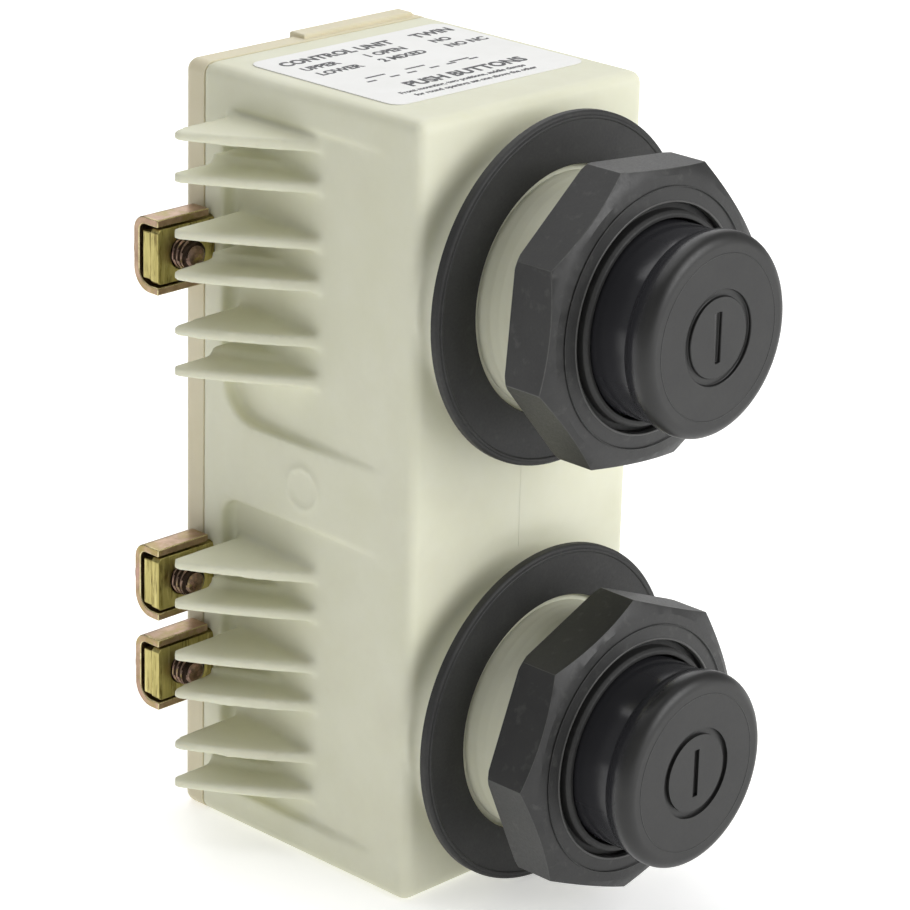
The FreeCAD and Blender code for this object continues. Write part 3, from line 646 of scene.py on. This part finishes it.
def terminal_screw(node):
    """A slotted screw: its head as modelled, a rolled thread, and a reduced tip with a broken edge."""
    low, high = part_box(node)
    centre = (low + high) / 2
    tip, seat = low.y / MM, high.y / MM - SCREW_HEAD
    bm = merged(node)
    rim = cut_off(bm, (0, seat * MM, 0), FRONT_TO_BACK)
    bmesh.ops.holes_fill(bm, edges=rim, sides=len(rim))
    first = tip + SCREW_TIP_LENGTH
    taper, slim = SCREW_TAPER
    along, across = SCREW_TIP_EDGE
    shaft = [(tip, 0), (tip, SCREW_TIP_RADIUS - across)]
    shaft += [(tip + along, SCREW_TIP_RADIUS), (first, SCREW_TIP_RADIUS)]
    for y in rows(first, seat, SCREW_THREAD[0]):
        shaft.append((y, SCREW_RADIUS - slim * max(0, 1 - (y - first) / taper)))
    shaft.append((seat, 0))
    turned = bmesh.new()
    lathed(turned, shaft, centre, closed=False, steps=SCREW_STEPS)
    threaded(turned, centre, SCREW_TIP_RADIUS + THREAD_MARGIN, SCREW_THREAD, tip - SCREW_THREAD[0], seat)
    # the lower half of the thread's depth takes the painted shade of the valleys
    lowest, highest = SCREW_TIP_RADIUS + THREAD_MARGIN, SCREW_RADIUS - SCREW_THREAD[1] / 2
    for face in turned.faces:
        where = face.calc_center_median()
        out = math.hypot(where.x - centre.x, where.z - centre.z) / MM
        face.material_index = int(lowest < out < highest)
    mesh = bpy.data.meshes.new("shaft")
    turned.to_mesh(mesh)
    turned.free()
    bm.from_mesh(mesh)
    bpy.data.meshes.remove(mesh)
    made = piece(f"{node}_finished", bm, FINISHES["screw_steel"], NODE_BODY[node], corner=math.radians(50))
    made.data.materials.append(PAINTED_THREAD_SHADE)
    stands_for(made, node)


for terminal in TERMINALS:
    finished(f"{terminal}_strap", width=0.12)
    finished(f"{terminal}_wire_plate", width=0.12)
    finished(f"{terminal}_saddle", width=0.14, edge_wear_and_highlight=RUBBED_SHEET_AND_HIGHLIGHT)
    terminal_screw(f"{terminal}_screw")

# ---------------------------------------------------------------- floor, light and camera


def floor():
    """A wide pale floor under the unit."""
    bm = bmesh.new()
    under = Matrix.Translation((0, 0, CAD_BOX[0].z))
    bmesh.ops.create_grid(bm, x_segments=1, y_segments=1, size=4, matrix=under)
    mesh = bpy.data.meshes.new("floor")
    bm.to_mesh(mesh)
    bm.free()
    # painted board: pale, matt and all but even
    glow = {"Emission Color": linear("#FFFFFF"), "Emission Strength": 0.42}
    paint = surface("pale_painted_floor", ("#FAFAF9", "#F6F6F5"), 400, (0.85, 0.95), 40, 0.01, **glow)
    mesh.materials.append(paint)
    made = bpy.data.objects.new("floor", mesh)
    bpy.context.scene.collection.objects.link(made)


def softbox(name, place, size, power):
    """A square area lamp aimed at the unit's middle."""
    lamp = bpy.data.lights.new(name, "AREA")
    lamp.shape = "SQUARE"
    lamp.size = size
    lamp.energy = power
    made = bpy.data.objects.new(name, lamp)
    made.location = place
    made.rotation_euler = (-Vector(place)).to_track_quat("-Z", "Y").to_euler()
    bpy.context.scene.collection.objects.link(made)


def lighting():
    """Soft light: boxes overhead and behind, a key from the front right and a weak fill from the left."""
    softbox("overhead_softbox", (0.0, 0.28, 0.92), size=0.9, power=4.3)
    softbox("back_softbox", (0.62, 0.62, 0.55), size=0.7, power=2.0)
    softbox("front_right_softbox", (0.32, -0.88, 0.45), size=0.7, power=7.9)
    softbox("left_fill", (-0.95, -0.1, 0.25), size=0.8, power=0.25)
    world = bpy.data.worlds.new("studio_air")
    world.use_nodes = True
    air = world.node_tree.nodes["Background"]
    air.inputs["Color"].default_value = linear("#FFFFFF")
    air.inputs["Strength"].default_value = 0.26
    bpy.context.scene.world = world
    bpy.context.scene.view_settings.view_transform = "Standard"


def camera():
    """The camera, a little above the unit and round to its left, with a slight tilt."""
    azimuth, height, tilt = (math.radians(a) for a in (-46.128, 20.169, 1.547))
    right = Vector((math.cos(azimuth), math.sin(azimuth), 0))
    level = Vector((math.sin(azimuth), -math.cos(azimuth), 0))
    back = level * math.cos(height) + Vector((0, 0, math.sin(height)))
    up = back.cross(right)
    place = Matrix.Translation((-0.32905, -0.29812, 0.16947))
    turn = Matrix((right, up, back)).transposed() @ Matrix.Rotation(tilt, 3, "Z")
    lens = bpy.data.cameras.new("camera")
    lens.sensor_width = 36
    lens.lens = 148.82
    lens.clip_start = 0.01
    made = bpy.data.objects.new("camera", lens)
    made.matrix_world = place @ turn.to_4x4()
    bpy.context.scene.collection.objects.link(made)
    bpy.context.scene.camera = made


floor()
lighting()
camera()
